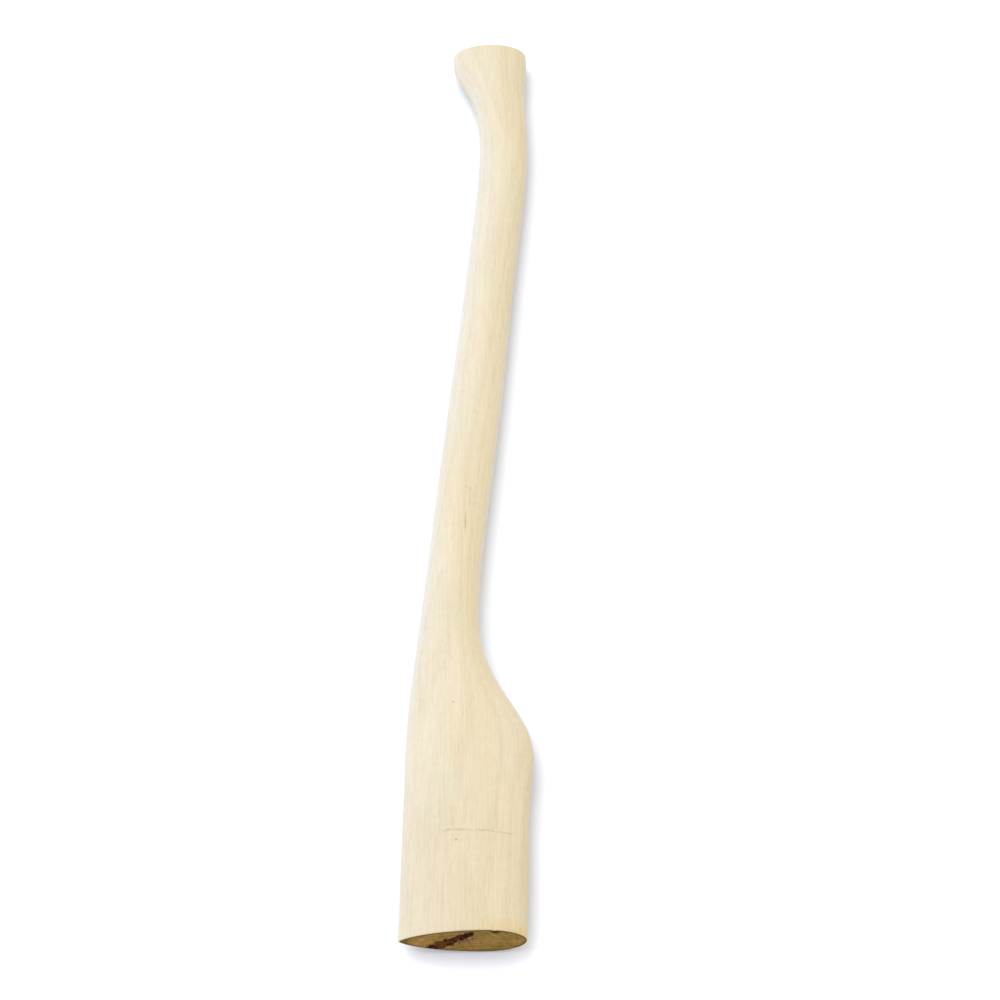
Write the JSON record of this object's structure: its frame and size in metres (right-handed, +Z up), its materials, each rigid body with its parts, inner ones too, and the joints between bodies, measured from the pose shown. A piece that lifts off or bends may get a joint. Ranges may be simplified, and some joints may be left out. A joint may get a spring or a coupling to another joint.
{
  "type": "broad axe haft",
  "caption": "Swan-necked one-piece wooden haft for a broad axe, with a wide teardrop tongue for the eye, a rounded shoulder and a knob with a toe.",
  "frame": {"origin": "middle of the footprint of the haft lying on its side, on the surface it lies on", "axes": "+Y along the haft from the sawn eye end to the knob, +Z up through the haft's thickness, -X towards the bit side and +X towards the poll side"},
  "size_m": [0.0872, 0.914, 0.028],
  "materials": {
    "haft_wood": "machine sanded, unfinished"
  },
  "bodies": {
    "root": {"haft": "haft_wood"}
  },
  "joints": []
}
